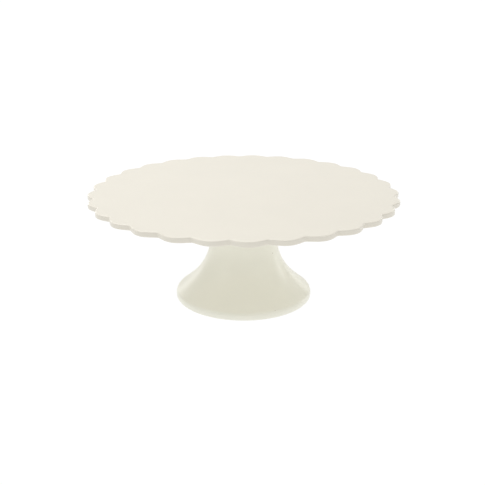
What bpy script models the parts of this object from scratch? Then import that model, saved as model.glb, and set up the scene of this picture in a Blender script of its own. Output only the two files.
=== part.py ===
"""Cake stand: a scalloped plate clamped on a hollow flared pedestal by a bolt with a hand knob.

Metres, +Z up. The origin is on the stand's axis, at the surface it stands on.
"""

import math

import bmesh
import bpy

# Overall
STAND_HEIGHT = 0.1013
MERGE = 0.00001

# Clearances: pieces that touch, the boss in its cup, the bolt in its insert and in the deck
CLEARANCE = 0.0003
BOSS_CLEARANCE = 0.0006
BOSS_END_CLEARANCE = 0.0005
THREAD_CLEARANCE = 0.00035
BOLT_HOLE_CLEARANCE = 0.0005
BOLT_TIP_CLEARANCE = 0.0008

# Steps round a large turned piece and round the hardware
LARGE_STEPS = 48
SMALL_STEPS = 32

# Plate: its rim is a run of round lobes that meet in small cusps
PLATE_RADIUS = 0.140
PLATE_THICKNESS = 0.0048
LOBES = 29
LOBE_DEPTH = 0.00525
LOBE_ROUNDNESS = 1.156
LOBE_POINTS = 8
PLATE_EDGE_ROUND = 0.0012
PLATE_UNDERSIDE = STAND_HEIGHT - PLATE_THICKNESS

# Boss under the plate, which centres it in the pedestal
BOSS_RADIUS = 0.0140
BOSS_HEIGHT = 0.0060
BOSS_CHAMFER = 0.0008
BOSS_BOTTOM = PLATE_UNDERSIDE - BOSS_HEIGHT

# Thread, M8 x 1.25
THREAD_RADIUS = 0.0040
THREAD_BORE_RADIUS = THREAD_RADIUS + THREAD_CLEARANCE
BOLT_HOLE_RADIUS = THREAD_RADIUS + BOLT_HOLE_CLEARANCE

# Insert in the boss
INSERT_RADIUS = 0.0060
INSERT_LENGTH = 0.0068
INSERT_BOTTOM = BOSS_BOTTOM + CLEARANCE
INSERT_TOP = INSERT_BOTTOM + INSERT_LENGTH
INSERT_CHAMFER = 0.0005

# Pedestal: outer radii and heights of its rim, waist and top
FOOT_RADIUS = 0.0632
RIM_HEIGHT = 0.0062
WAIST_RADIUS = 0.0310
WAIST_HEIGHT = 0.0600
FLARE_POWER = 2.34
HEAD_RADIUS = 0.0380
WALL = 0.0045
RIM_WIDTH = 0.0080
RIM_ROUND = 0.0018
RIM_LOWER_ROUND = 0.0012
FLARE_POINTS = 9
NECK_POINTS = 5

# Gasket between the pedestal's head and the plate
GASKET_SETBACK = 0.0060
GASKET_RADIUS = HEAD_RADIUS - GASKET_SETBACK
GASKET_WIDTH = 0.0040
GASKET_THICKNESS = 0.0012
GASKET_GROOVE_DEPTH = 0.0009
GASKET_TOP = PLATE_UNDERSIDE - CLEARANCE
GASKET_BOTTOM = GASKET_TOP - GASKET_THICKNESS
HEAD_TOP = GASKET_BOTTOM - CLEARANCE + GASKET_GROOVE_DEPTH

# Cup in the pedestal's head that takes the boss, and the deck under it
CUP_RADIUS = BOSS_RADIUS + BOSS_CLEARANCE
CUP_FLOOR = BOSS_BOTTOM - BOSS_END_CLEARANCE
DECK = 0.0050
DECK_BOTTOM = CUP_FLOOR - DECK

# Foot ring, which stands a little proud of the foot
FOOT_RING_WIDTH = 0.0030
FOOT_RING_HEIGHT = 0.0016
FOOT_RING_PROUD = 0.0004
FOOT_RING_RADIUS = FOOT_RADIUS - RIM_WIDTH / 2

# Washers under the deck
WASHER_RADIUS = 0.0120
WASHER_HOLE_RADIUS = THREAD_RADIUS + CLEARANCE
SOFT_WASHER_THICKNESS = 0.0015
FLAT_WASHER_THICKNESS = 0.0020
SOFT_WASHER_TOP = DECK_BOTTOM - CLEARANCE
FLAT_WASHER_TOP = SOFT_WASHER_TOP - SOFT_WASHER_THICKNESS - CLEARANCE

# Knob and bolt: the hexagon head sits up in a pocket under the knob
KNOB_RADIUS = 0.0150
KNOB_FACE = 0.0055
KNOB_FLUTES = 8
KNOB_FLUTE_DEPTH = 0.0016
KNOB_FLUTE_POINTS = 6
KNOB_EDGE_ROUND = 0.0010
BOLT_HEAD_FLATS = 0.0130
BOLT_HEAD_HEIGHT = 0.0053
BOLT_HEAD_RECESS = 0.0009
BOLT_POINT_CHAMFER = 0.0006
KNOB_TOP = FLAT_WASHER_TOP - FLAT_WASHER_THICKNESS - CLEARANCE
BOLT_SEAT = KNOB_TOP - KNOB_FACE - CLEARANCE
BOLT_TIP = INSERT_TOP - BOLT_TIP_CLEARANCE
KNOB_BOTTOM = BOLT_SEAT - BOLT_HEAD_HEIGHT - BOLT_HEAD_RECESS

# Colours as linear RGB, with metallic and roughness
CREAM = ((0.83, 0.79, 0.70), 0.0, 0.32)
SILICONE = ((0.72, 0.70, 0.65), 0.0, 0.60)
BRASS = ((0.78, 0.58, 0.27), 1.0, 0.30)
STEEL = ((0.62, 0.62, 0.61), 1.0, 0.28)
KNOB_GREY = ((0.62, 0.59, 0.52), 0.0, 0.45)


def clear_scene():
    for thing in list(bpy.data.objects):
        bpy.data.objects.remove(thing, do_unlink=True)


def new_collection(name):
    made = bpy.data.collections.new(name)
    bpy.context.scene.collection.children.link(made)
    return made


def finish_material(name, look):
    colour, metallic, roughness = look
    made = bpy.data.materials.new(name)
    made.use_nodes = True
    shader = made.node_tree.nodes["Principled BSDF"]
    shader.inputs["Base Color"].default_value = (*colour, 1.0)
    shader.inputs["Metallic"].default_value = metallic
    shader.inputs["Roughness"].default_value = roughness
    return made


def dress(thing, look, collection):
    """Puts a finished sub-part in its collection with its own material."""
    for old in list(thing.users_collection):
        old.objects.unlink(thing)
    collection.objects.link(thing)
    thing.data.materials.clear()
    thing.data.materials.append(finish_material(thing.name, look))
    return thing


def arc(centre_r, centre_z, radius, start, end, points):
    """Points (radius, height) along an arc, its angles in degrees from +X towards +Z."""
    made = []
    for i in range(points + 1):
        angle = math.radians(start + (end - start) * i / points)
        made.append((centre_r + radius * math.cos(angle), centre_z + radius * math.sin(angle)))
    return made


def turned(name, profile, steps=SMALL_STEPS, closed=True):
    """A (radius, height) profile turned about Z. It runs down its outer side first.

    A closed profile stays clear of the axis, and an open one starts and ends on it.
    """
    mesh = bpy.data.meshes.new(name)
    points = [(r, 0.0, z) for r, z in profile]
    edges = [(i, i + 1) for i in range(len(points) - 1)]
    if closed:
        edges.append((len(points) - 1, 0))
    mesh.from_pydata(points, edges, [])
    thing = bpy.data.objects.new(name, mesh)
    bpy.context.scene.collection.objects.link(thing)
    screw = thing.modifiers.new("turn", "SCREW")
    screw.axis = "Z"
    screw.angle = math.tau
    screw.steps = steps
    screw.render_steps = steps
    screw.use_smooth_shade = True
    screw.use_merge_vertices = True
    screw.merge_threshold = MERGE
    return thing


def as_mesh(thing):
    """A curve object's evaluated shape as a plain mesh object of the same name, its caps welded."""
    bpy.context.view_layer.update()
    graph = bpy.context.evaluated_depsgraph_get()
    mesh = bpy.data.meshes.new_from_object(thing.evaluated_get(graph))
    name = thing.name
    place = thing.matrix_world.copy()
    bpy.data.objects.remove(thing, do_unlink=True)
    welded = bmesh.new()
    welded.from_mesh(mesh)
    bmesh.ops.remove_doubles(welded, verts=welded.verts, dist=MERGE)
    welded.to_mesh(mesh)
    welded.free()
    made = bpy.data.objects.new(name, mesh)
    made.matrix_world = place
    bpy.context.scene.collection.objects.link(made)
    return made


def slab(name, outline, bottom, top):
    """A flat outline of (x, y) points, filled and made as thick as bottom to top."""
    curve = bpy.data.curves.new(name, "CURVE")
    curve.dimensions = "2D"
    curve.fill_mode = "BOTH"
    curve.extrude = (top - bottom) / 2
    spline = curve.splines.new("POLY")
    spline.points.add(len(outline) - 1)
    for point, (x, y) in zip(spline.points, outline):
        point.co = (x, y, 0.0, 1.0)
    spline.use_cyclic_u = True
    thing = bpy.data.objects.new(name, curve)
    thing.location = (0.0, 0.0, (top + bottom) / 2)
    bpy.context.scene.collection.objects.link(thing)
    return as_mesh(thing)


def round_edges(thing, width, segments, angle=60.0):
    bevel = thing.modifiers.new("round", "BEVEL")
    bevel.width = width
    bevel.segments = segments
    bevel.limit_method = "ANGLE"
    bevel.angle_limit = math.radians(angle)
    bevel.use_clamp_overlap = False
    return thing


def combine(thing, other, operation, cutters):
    """Joins or cuts a thing with another, which is kept as a hidden cutter."""
    for old in list(other.users_collection):
        old.objects.unlink(other)
    cutters.objects.link(other)
    other.hide_render = True
    other.display_type = "WIRE"
    boolean = thing.modifiers.new(operation.lower(), "BOOLEAN")
    boolean.operation = operation
    boolean.solver = "EXACT"
    boolean.object = other
    return thing


def shade(thing):
    thing.data.shade_smooth()
    thing.data.set_sharp_from_angle(angle=math.radians(35))
    return thing


def ring_profile(inner, outer, bottom, top):
    return [(outer, top), (outer, bottom), (inner, bottom), (inner, top)]


def lobe_radius(angle):
    """The rim's distance from the axis: a lobe is centred on -Y."""
    swing = abs(math.cos(LOBES * (angle + math.pi / 2) / 2))
    return PLATE_RADIUS - LOBE_DEPTH * (1 - swing**LOBE_ROUNDNESS)


def plate_outline():
    """Points round the rim, with one exactly at every cusp."""
    count = LOBES * LOBE_POINTS
    outline = []
    for i in range(count):
        angle = math.tau * (i / count) - math.pi / 2 + math.pi / LOBES
        radius = lobe_radius(angle)
        outline.append((radius * math.cos(angle), radius * math.sin(angle)))
    return outline


def flare_radius(height):
    """The pedestal's outer radius between its rim and its head."""
    if height < WAIST_HEIGHT:
        share = (WAIST_HEIGHT - height) / (WAIST_HEIGHT - RIM_HEIGHT)
        return WAIST_RADIUS + (FOOT_RADIUS - WAIST_RADIUS) * share**FLARE_POWER
    share = (height - WAIST_HEIGHT) / (HEAD_TOP - WAIST_HEIGHT)
    return WAIST_RADIUS + (HEAD_RADIUS - WAIST_RADIUS) * share**2


def outer_flare():
    """The pedestal's outer side, from its head down to its rim."""
    points = []
    for i in range(NECK_POINTS):
        height = HEAD_TOP - (HEAD_TOP - WAIST_HEIGHT) * i / NECK_POINTS
        points.append((flare_radius(height), height))
    for i in range(FLARE_POINTS + 1):
        height = WAIST_HEIGHT - (WAIST_HEIGHT - RIM_HEIGHT) * i / FLARE_POINTS
        points.append((flare_radius(height), height))
    return points


def inner_flare(points):
    """The wall's inner side, WALL in from the outer one, from the rim up to the head."""
    inner = []
    for before, here, after in zip(points, points[1:], points[2:]):
        along = (after[0] - before[0], after[1] - before[1])
        length = math.hypot(*along)
        inner.append((here[0] + along[1] / length * WALL, here[1] - along[0] / length * WALL))
    return [p for p in reversed(inner) if RIM_HEIGHT < p[1] < HEAD_TOP - DECK]


def make_plate(parts, cutters):
    plate = slab("scalloped_plate", plate_outline(), PLATE_UNDERSIDE, STAND_HEIGHT)
    round_edges(plate, PLATE_EDGE_ROUND, 2)
    bury = PLATE_THICKNESS / 3
    boss = turned(
        "plate_boss",
        [
            (0.0, PLATE_UNDERSIDE + bury),
            (BOSS_RADIUS, PLATE_UNDERSIDE + bury),
            (BOSS_RADIUS, BOSS_BOTTOM + BOSS_CHAMFER),
            (BOSS_RADIUS - BOSS_CHAMFER, BOSS_BOTTOM),
            (0.0, BOSS_BOTTOM),
        ],
        closed=False,
    )
    hole_radius = INSERT_RADIUS + CLEARANCE
    hole_top = INSERT_TOP + CLEARANCE
    hole = turned(
        "insert_hole",
        [
            (0.0, hole_top),
            (hole_radius, hole_top),
            (hole_radius, BOSS_BOTTOM - BOSS_HEIGHT),
            (0.0, BOSS_BOTTOM - BOSS_HEIGHT),
        ],
        closed=False,
    )
    combine(plate, boss, "UNION", cutters)
    combine(plate, hole, "DIFFERENCE", cutters)
    return dress(shade(plate), CREAM, parts)


def make_insert(parts):
    profile = [
        (INSERT_RADIUS, INSERT_TOP),
        (INSERT_RADIUS, INSERT_BOTTOM + INSERT_CHAMFER),
        (INSERT_RADIUS - INSERT_CHAMFER, INSERT_BOTTOM),
        (THREAD_BORE_RADIUS, INSERT_BOTTOM),
        (THREAD_BORE_RADIUS, INSERT_TOP),
    ]
    return dress(turned("threaded_insert", profile), BRASS, parts)


def rim_profile():
    """The foot's outer rim and its bottom, with the groove for the foot ring."""
    bottom = FOOT_RING_PROUD
    slope = (FOOT_RADIUS - WAIST_RADIUS) * FLARE_POWER / (WAIST_HEIGHT - RIM_HEIGHT)
    shoulder = math.atan(slope)
    round_height = RIM_HEIGHT - RIM_ROUND * math.tan(shoulder / 2)
    groove_top = FOOT_RING_HEIGHT + CLEARANCE
    groove_half = FOOT_RING_WIDTH / 2 + CLEARANCE
    inner = FOOT_RADIUS - RIM_WIDTH
    profile = arc(FOOT_RADIUS - RIM_ROUND, round_height, RIM_ROUND, math.degrees(shoulder), 0, 3)
    profile += arc(
        FOOT_RADIUS - RIM_LOWER_ROUND, bottom + RIM_LOWER_ROUND, RIM_LOWER_ROUND, 0, -90, 3
    )
    profile += [
        (FOOT_RING_RADIUS + groove_half, bottom),
        (FOOT_RING_RADIUS + groove_half, groove_top),
        (FOOT_RING_RADIUS - groove_half, groove_top),
        (FOOT_RING_RADIUS - groove_half, bottom),
        (inner, bottom),
        (inner, RIM_HEIGHT / 2),
    ]
    return profile


def head_profile():
    """The deck, the cup for the boss and the gasket's groove, from the wall's inner side out."""
    deck_under = HEAD_TOP - DECK
    cup_wall = CUP_RADIUS + DECK
    groove_half = GASKET_WIDTH / 2 + CLEARANCE
    groove_bottom = HEAD_TOP - GASKET_GROOVE_DEPTH
    return [
        (flare_radius(deck_under) - WALL, deck_under),
        (cup_wall, deck_under),
        (cup_wall, DECK_BOTTOM),
        (BOLT_HOLE_RADIUS, DECK_BOTTOM),
        (BOLT_HOLE_RADIUS, CUP_FLOOR),
        (CUP_RADIUS, CUP_FLOOR),
        (CUP_RADIUS, HEAD_TOP),
        (GASKET_RADIUS - groove_half, HEAD_TOP),
        (GASKET_RADIUS - groove_half, groove_bottom),
        (GASKET_RADIUS + groove_half, groove_bottom),
        (GASKET_RADIUS + groove_half, HEAD_TOP),
    ]


def make_pedestal(parts):
    outer = outer_flare()
    profile = outer[:-1] + rim_profile() + inner_flare(outer) + head_profile()
    return dress(turned("pedestal_shell", profile, LARGE_STEPS), CREAM, parts)


def make_gasket(parts):
    inner = GASKET_RADIUS - GASKET_WIDTH / 2
    outer = GASKET_RADIUS + GASKET_WIDTH / 2
    profile = ring_profile(inner, outer, GASKET_BOTTOM, GASKET_TOP)
    return dress(turned("seat_gasket", profile, LARGE_STEPS), SILICONE, parts)


def make_foot_ring(parts):
    inner = FOOT_RING_RADIUS - FOOT_RING_WIDTH / 2
    outer = FOOT_RING_RADIUS + FOOT_RING_WIDTH / 2
    profile = ring_profile(inner, outer, 0.0, FOOT_RING_HEIGHT)
    return dress(turned("foot_ring", profile, LARGE_STEPS), SILICONE, parts)


def make_washers(parts):
    stack = [
        ("soft_washer", SOFT_WASHER_TOP, SOFT_WASHER_THICKNESS, SILICONE),
        ("flat_washer", FLAT_WASHER_TOP, FLAT_WASHER_THICKNESS, STEEL),
    ]
    for name, top, thickness, look in stack:
        profile = ring_profile(WASHER_HOLE_RADIUS, WASHER_RADIUS, top - thickness, top)
        dress(turned(name, profile), look, parts)


def knob_outline():
    """A round grip with shallow hollow flutes for the fingertips."""
    count = KNOB_FLUTES * KNOB_FLUTE_POINTS
    outline = []
    for i in range(count):
        angle = math.tau * i / count
        dip = (1 - math.cos(KNOB_FLUTES * angle)) / 2
        radius = KNOB_RADIUS - KNOB_FLUTE_DEPTH * dip
        outline.append((radius * math.cos(angle), radius * math.sin(angle)))
    return outline


def hexagon(flats):
    corner = flats / 2 / math.cos(math.radians(30))
    return [(corner * math.cos(math.radians(60 * i)), corner * math.sin(math.radians(60 * i)))
            for i in range(6)]


def make_knob(parts, cutters):
    margin = KNOB_FACE
    knob = slab("thumb_knob", knob_outline(), KNOB_BOTTOM, KNOB_TOP)
    round_edges(knob, KNOB_EDGE_ROUND, 2)
    pocket_outline = hexagon(BOLT_HEAD_FLATS + 2 * CLEARANCE)
    pocket = slab("bolt_head_pocket", pocket_outline, KNOB_BOTTOM - margin, KNOB_TOP - KNOB_FACE)
    hole = turned(
        "bolt_hole",
        [
            (0.0, KNOB_TOP + margin),
            (THREAD_RADIUS + CLEARANCE, KNOB_TOP + margin),
            (THREAD_RADIUS + CLEARANCE, BOLT_SEAT - BOLT_HEAD_HEIGHT / 2),
            (0.0, BOLT_SEAT - BOLT_HEAD_HEIGHT / 2),
        ],
        closed=False,
    )
    combine(knob, pocket, "DIFFERENCE", cutters)
    combine(knob, hole, "DIFFERENCE", cutters)
    return dress(shade(knob), KNOB_GREY, parts)


def make_bolt(parts, cutters):
    bolt = slab("clamp_bolt", hexagon(BOLT_HEAD_FLATS), BOLT_SEAT - BOLT_HEAD_HEIGHT, BOLT_SEAT)
    shank = turned(
        "bolt_shank",
        [
            (0.0, BOLT_TIP),
            (THREAD_RADIUS - BOLT_POINT_CHAMFER, BOLT_TIP),
            (THREAD_RADIUS, BOLT_TIP - BOLT_POINT_CHAMFER),
            (THREAD_RADIUS, BOLT_SEAT - BOLT_HEAD_HEIGHT / 2),
            (0.0, BOLT_SEAT - BOLT_HEAD_HEIGHT / 2),
        ],
        closed=False,
    )
    combine(bolt, shank, "UNION", cutters)
    return dress(shade(bolt), STEEL, parts)


def main():
    clear_scene()
    parts = new_collection("cake_stand")
    cutters = new_collection("cutters")
    make_plate(parts, cutters)
    make_insert(parts)
    make_pedestal(parts)
    make_gasket(parts)
    make_foot_ring(parts)
    make_washers(parts)
    make_knob(parts, cutters)
    make_bolt(parts, cutters)


main()
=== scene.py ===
"""Visual model of a two-part moulded cake stand, built round its packed CAD frame.

A scalloped plate is clamped on a hollow flared pedestal by a bolt with a hand knob, which is
reached from under the foot. Everything is in metres, +Z up, with the origin on the stand's axis at
the surface it stands on.
"""

import math

import bpy
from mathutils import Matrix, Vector


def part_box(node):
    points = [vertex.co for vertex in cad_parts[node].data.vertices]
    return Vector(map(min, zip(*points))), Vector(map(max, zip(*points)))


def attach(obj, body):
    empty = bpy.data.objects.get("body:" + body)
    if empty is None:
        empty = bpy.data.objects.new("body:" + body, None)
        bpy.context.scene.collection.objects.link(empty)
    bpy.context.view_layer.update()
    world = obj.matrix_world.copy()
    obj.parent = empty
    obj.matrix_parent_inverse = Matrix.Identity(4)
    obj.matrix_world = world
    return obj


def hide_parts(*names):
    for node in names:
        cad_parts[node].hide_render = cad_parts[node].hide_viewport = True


bl_info = {
    "name": "Moulded Cake Stand",
    "version": (1, 0, 0),
    "blender": (4, 5, 0),
    "location": "View3D > Sidebar > Cake Stand",
    "description": "Makes a scalloped cake stand with its clamp hardware round a CAD frame",
    "category": "Object",
}

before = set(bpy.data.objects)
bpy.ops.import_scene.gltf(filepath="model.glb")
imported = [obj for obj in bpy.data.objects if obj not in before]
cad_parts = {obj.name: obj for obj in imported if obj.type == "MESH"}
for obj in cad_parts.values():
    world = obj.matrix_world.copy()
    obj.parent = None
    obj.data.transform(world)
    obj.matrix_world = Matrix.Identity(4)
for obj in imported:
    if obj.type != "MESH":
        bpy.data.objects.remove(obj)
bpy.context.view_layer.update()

MM = 0.001

# Where each CAD node lies: (lowest corner, highest corner)
PLATE_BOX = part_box("scalloped_plate")
PEDESTAL_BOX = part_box("pedestal_shell")
INSERT_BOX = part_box("threaded_insert")
GASKET_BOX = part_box("seat_gasket")
FOOT_RING_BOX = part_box("foot_ring")
SOFT_WASHER_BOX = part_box("soft_washer")
FLAT_WASHER_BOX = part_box("flat_washer")
KNOB_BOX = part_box("thumb_knob")
BOLT_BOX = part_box("clamp_bolt")

# Sizes that more than one piece is made to
CLEARANCE = 0.3 * MM
FOOT_RADIUS = -PEDESTAL_BOX[0][0]
GASKET_WIDTH = 4.0 * MM
HEAD_FLATS = 13.0 * MM
HEAD_HEIGHT = 5.3 * MM
BOLT_SEAT = BOLT_BOX[0][2] + HEAD_HEIGHT

# The turn between two points of a fillet, and how far beyond it its support points lie
FILLET_STEP = math.radians(15)
SUPPORT = 0.15 * MM
# Points of a grid that are closer than this are welded
MERGE = 0.002 * MM
# Edges that bend more than this are shaded as creases
SHARP = math.radians(38)

# Each soft light: bearing and elevation in degrees, distance and (width, height) in metres, watts
SOFT_LIGHTS = {
    "left_strip": (124, 9, 1.1, (0.20, 0.5), 0.65),
    "right_strip": (24, 8, 1.1, (0.06, 0.5), 0.8),
    "right_back_strip": (56, 6, 1.1, (0.12, 0.4), 0.3),
    "left_box": (205, 34, 1.6, (1.0, 0.9), 2.0),
    "right_box": (318, 34, 1.6, (1.0, 0.9), 1.7),
    "top_box": (130, 66, 1.4, (1.5, 1.2), 12.8),
}
# The point that they all face
LIT_POINT = (0.0, 0.0, 0.05)


def linear(code):
    """Linear RGBA from an sRGB hex value such as "F0EBE1"."""
    shares = [int(code[i : i + 2], 16) / 255 for i in (0, 2, 4)]
    plain = [s / 12.92 if s <= 0.04045 else ((s + 0.055) / 1.055) ** 2.4 for s in shares]
    return (*plain, 1.0)


def per_metre(size_mm):
    """The texture scale that gives a pattern one repeat in this many millimetres."""
    return 1000.0 / size_mm


class PlateSizes(bpy.types.PropertyGroup):
    """Sizes of the scalloped plate."""

    rim_radius: bpy.props.FloatProperty(
        name="Rim Radius",
        description="From the axis to the outermost point of a lobe",
        default=-PLATE_BOX[0][1],
        unit="LENGTH",
        precision=4,
    )
    thickness: bpy.props.FloatProperty(
        name="Thickness",
        description="Thickness of the flat plate",
        default=4.8 * MM,
        unit="LENGTH",
        precision=4,
    )
    lobes: bpy.props.IntProperty(
        name="Lobes",
        description="Number of scallops round the rim",
        default=29,
        min=3,
    )
    lobe_depth: bpy.props.FloatProperty(
        name="Lobe Depth",
        description="How far each notch between two lobes cuts in",
        default=5.25 * MM,
        unit="LENGTH",
        precision=4,
    )
    lobe_roundness: bpy.props.FloatProperty(
        name="Lobe Roundness",
        description="1 gives sharp notches between lobes and 2 gives a wave",
        default=1.156,
    )
    notch_softness: bpy.props.FloatProperty(
        name="Notch Softness",
        description="How rounded the bottom of each notch is",
        default=0.06,
    )
    edge_round: bpy.props.FloatProperty(
        name="Edge Round",
        description="Radius of the rim's upper and lower edges",
        default=1.2 * MM,
        unit="LENGTH",
        precision=4,
    )
    boss_radius: bpy.props.FloatProperty(
        name="Boss Radius",
        description="Radius of the boss under the plate that holds the threaded insert",
        default=14.0 * MM,
        unit="LENGTH",
        precision=4,
    )


class PedestalSizes(bpy.types.PropertyGroup):
    """Sizes of the hollow flared pedestal."""

    waist_radius: bpy.props.FloatProperty(
        name="Waist Radius",
        description="Outer radius at the narrowest height",
        default=31.0 * MM,
        unit="LENGTH",
        precision=4,
    )
    waist_height: bpy.props.FloatProperty(
        name="Waist Height",
        description="Height of the narrowest part",
        default=60.0 * MM,
        unit="LENGTH",
        precision=4,
    )
    head_radius: bpy.props.FloatProperty(
        name="Head Radius",
        description="Outer radius at the top, under the plate",
        default=38.0 * MM,
        unit="LENGTH",
        precision=4,
    )
    flare_power: bpy.props.FloatProperty(
        name="Flare Power",
        description="How suddenly the pedestal spreads towards its foot",
        default=2.34,
    )
    rim_height: bpy.props.FloatProperty(
        name="Rim Height",
        description="Height of the foot's rim where the flare meets it",
        default=6.2 * MM,
        unit="LENGTH",
        precision=4,
    )
    rim_width: bpy.props.FloatProperty(
        name="Rim Width",
        description="Width of the thick rim that the foot stands on",
        default=8.0 * MM,
        unit="LENGTH",
        precision=4,
    )
    wall: bpy.props.FloatProperty(
        name="Wall",
        description="Thickness of the pedestal's wall",
        default=4.5 * MM,
        unit="LENGTH",
        precision=4,
    )


class HardwareSizes(bpy.types.PropertyGroup):
    """Sizes of the clamp bolt, its knob and its insert."""

    thread_radius: bpy.props.FloatProperty(
        name="Thread Radius",
        description="Major radius of the bolt's thread",
        default=4.0 * MM,
        unit="LENGTH",
        precision=4,
    )
    thread_pitch: bpy.props.FloatProperty(
        name="Thread Pitch",
        description="Rise of the thread in one turn",
        default=1.25 * MM,
        unit="LENGTH",
        precision=5,
    )
    knob_flutes: bpy.props.IntProperty(
        name="Knob Flutes",
        description="Number of hollow flutes for the fingertips",
        default=8,
        min=3,
    )
    knob_flute_depth: bpy.props.FloatProperty(
        name="Knob Flute Depth",
        description="Depth of each flute",
        default=1.6 * MM,
        unit="LENGTH",
        precision=4,
    )
    insert_knurls: bpy.props.IntProperty(
        name="Insert Knurls",
        description="Number of straight knurl ridges round the insert",
        default=40,
        min=8,
    )


class FinishColours(bpy.types.PropertyGroup):
    """Colours of the stand's finishes."""

    cream: bpy.props.FloatVectorProperty(
        name="Plate Moulding",
        description="Colour of the plate",
        subtype="COLOR",
        size=4,
        min=0.0,
        max=1.0,
        default=linear("E6E1D4"),
    )
    # Painted light: the pedestal's cream is lighter and greener than the plate's to make up for the shade
    # the plate casts on it and the light bounced into it, not a batch of its own.
    pedestal_cream_painted_lighter: bpy.props.FloatVectorProperty(
        name="Pedestal Moulding",
        description="Colour of the pedestal, which comes from a slightly greener batch",
        subtype="COLOR",
        size=4,
        min=0.0,
        max=1.0,
        default=linear("F3F2E4"),
    )
    fibre: bpy.props.FloatVectorProperty(
        name="Fibre Specks",
        description="Colour of the few plant fibres that show in the moulding",
        subtype="COLOR",
        size=4,
        min=0.0,
        max=1.0,
        default=linear("A89878"),
    )
    silicone: bpy.props.FloatVectorProperty(
        name="Silicone",
        description="Colour of the gasket, the foot ring and the soft washer",
        subtype="COLOR",
        size=4,
        min=0.0,
        max=1.0,
        default=linear("D8D6CE"),
    )
    knob: bpy.props.FloatVectorProperty(
        name="Knob Moulding",
        description="Colour of the hand knob",
        subtype="COLOR",
        size=4,
        min=0.0,
        max=1.0,
        default=linear("CFC9BB"),
    )
    brass: bpy.props.FloatVectorProperty(
        name="Brass",
        description="Colour of the threaded insert",
        subtype="COLOR",
        size=4,
        min=0.0,
        max=1.0,
        default=linear("D9B36A"),
    )
    zinc: bpy.props.FloatVectorProperty(
        name="Zinc Plate",
        description="Colour of the bolt and the flat washer",
        subtype="COLOR",
        size=4,
        min=0.0,
        max=1.0,
        default=linear("CDCFD0"),
    )


class StageSettings(bpy.types.PropertyGroup):
    """The floor, the lights and the camera."""

    camera_distance: bpy.props.FloatProperty(
        name="Camera Distance",
        description="From the camera to the point it looks at",
        default=0.7204,
        unit="LENGTH",
    )
    camera_elevation: bpy.props.FloatProperty(
        name="Camera Elevation",
        description="Angle of the camera above the horizon",
        default=math.radians(19.651),
        subtype="ANGLE",
    )
    camera_bearing: bpy.props.FloatProperty(
        name="Camera Bearing",
        description="Direction of the camera from the axis, anticlockwise from +X",
        default=math.radians(268.27),
        subtype="ANGLE",
    )
    target: bpy.props.FloatVectorProperty(
        name="Camera Target",
        description="The point the camera looks at",
        default=(-0.000996, 0.0, 0.05108),
        subtype="XYZ",
        unit="LENGTH",
    )
    lens: bpy.props.FloatProperty(
        name="Lens",
        description="Focal length in millimetres on a 36 mm wide sensor",
        default=57.56,
    )
    room_light: bpy.props.FloatProperty(
        name="Room Light",
        description="Strength of the even white light from all round",
        default=0.59,
    )
    floor_glow: bpy.props.FloatProperty(
        name="Floor Glow",
        description="How much the white floor lights the stand from below",
        default=0.975,
    )


def add_node(tree, kind, feeds=(), **settings):
    """Adds a node. feeds gives what goes into its sockets: another socket, or a plain value."""
    node = tree.nodes.new(kind)
    for name, value in settings.items():
        setattr(node, name, value)
    for key, source in dict(feeds).items():
        socket = node.inputs[key]
        if isinstance(source, bpy.types.NodeSocket):
            tree.links.new(source, socket)
        else:
            socket.default_value = source
    return node


def work_out(tree, values, *sums):
    """Adds sums to a tree. Each is (name, operation, terms...), and a term may be a name."""
    for name, operation, *terms in sums:
        feeds = {i: values.get(term, term) for i, term in enumerate(terms)}
        made = add_node(tree, "ShaderNodeMath", feeds, operation=operation)
        values[name] = made.outputs[0]


# The row and column of a grid that a point is in
GRID_SUMS = (
    ("row_share", "DIVIDE", "index", "columns"),
    ("row", "FLOOR", "row_share"),
    ("before_row", "MULTIPLY", "row", "columns"),
    ("column", "SUBTRACT", "index", "before_row"),
)
# From a radius and an angle to x and y
ROUND_SUMS = (
    ("cos_angle", "COSINE", "angle"),
    ("sin_angle", "SINE", "angle"),
    ("x", "MULTIPLY", "radius", "cos_angle"),
    ("y", "MULTIPLY", "radius", "sin_angle"),
)
# How many columns a scalloped or round piece has
LOBE_COUNTS = (
    ("steps", "MULTIPLY", "Lobes", "Steps a Lobe"),
    ("columns", "ADD", "steps", 1.0),
)
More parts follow.
